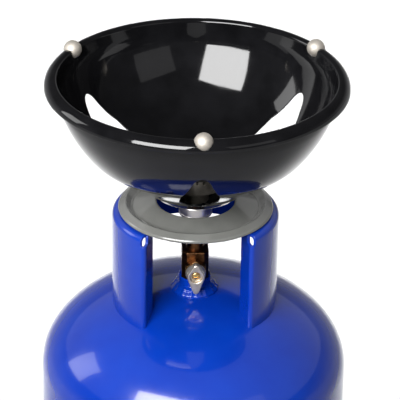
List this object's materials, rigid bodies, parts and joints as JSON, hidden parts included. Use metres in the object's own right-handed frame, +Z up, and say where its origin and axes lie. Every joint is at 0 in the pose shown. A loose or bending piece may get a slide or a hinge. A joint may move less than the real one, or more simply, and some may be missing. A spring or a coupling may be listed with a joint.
{
  "type": "gas cooker on cylinder",
  "caption": "Screw-on gas cooker on a small refillable gas cylinder: a bowl-shaped wind shield with three pan balls on its rolled rim, a guarded valve with a turning tap, and a foot ring.",
  "frame": {"origin": "on the floor, on the cylinder's axis, under the middle of the foot ring", "axes": "+Z up along the cylinder, -Y towards the front where the tap points, +X to the right seen from the front"},
  "size_m": [0.2524, 0.2524, 0.4997],
  "materials": {
    "blue_paint": "glossy royal blue paint",
    "grey_plastic": "satin grey moulding",
    "dark_brass": "darkened brass forging with bright edges",
    "brass": "turned brass",
    "seal_rubber": "black rubber",
    "cast_alloy": "dull cast alloy",
    "plated_steel": "zinc-plated steel",
    "bright_chrome": "polished chrome plate",
    "black_enamel": "glossy black enamel",
    "burner_iron": "dark cast iron",
    "nickel": "satin nickel plate"
  },
  "bodies": {
    "cylinder": {"foot_ring": "blue_paint", "lower_shell": "blue_paint", "girth_weld": "blue_paint", "upper_shell": "blue_paint", "neck_boss": "blue_paint", "collar": "blue_paint", "guard_ring": "grey_plastic", "valve_body": "dark_brass", "outlet_seal": "seal_rubber", "gland_nut": "brass", "gland_packing": "seal_rubber"},
    "tap": {"spindle": "brass", "knob": "cast_alloy", "knob_screw": "brass"},
    "plug": {"seat_plug": "brass", "seat_pad": "seal_rubber"},
    "jet": {"jet": "brass"},
    "cooker": {"burner_stem": "dark_brass", "mixing_tube": "plated_steel", "lock_nut": "bright_chrome", "lower_washer": "plated_steel", "upper_washer": "plated_steel", "bowl": "black_enamel", "burner_body": "cast_alloy", "burner_cap": "burner_iron", "pan_ball_front": "nickel", "pan_ball_left": "nickel", "pan_ball_right": "nickel"}
  },
  "joints": [
    {"name": "tap_turn", "type": "hinge", "parent": "cylinder", "child": "tap", "pos_m": [0, 0, 0.3279], "axis": [0, -1, 0], "range_deg": [0, 720]},
    {"name": "plug_lift", "type": "slide", "parent": "tap", "child": "plug", "axis": [0, -1, 0], "range_m": [0, 0.002]},
    {"name": "cooker_rise", "type": "slide", "parent": "cylinder", "child": "jet", "axis": [0, 0, 1], "range_m": [0, 0.006]},
    {"name": "cooker_turn", "type": "hinge", "parent": "jet", "child": "cooker", "pos_m": [0, 0, 0.336], "axis": [0, 0, -1], "range_deg": [0, 1440]}
  ],
  "couplings": [
    {"joint": "plug_lift", "follows": "tap_turn", "m_per_rad": 0.00015915},
    {"joint": "cooker_rise", "follows": "cooker_turn", "m_per_rad": 0.00023873}
  ]
}
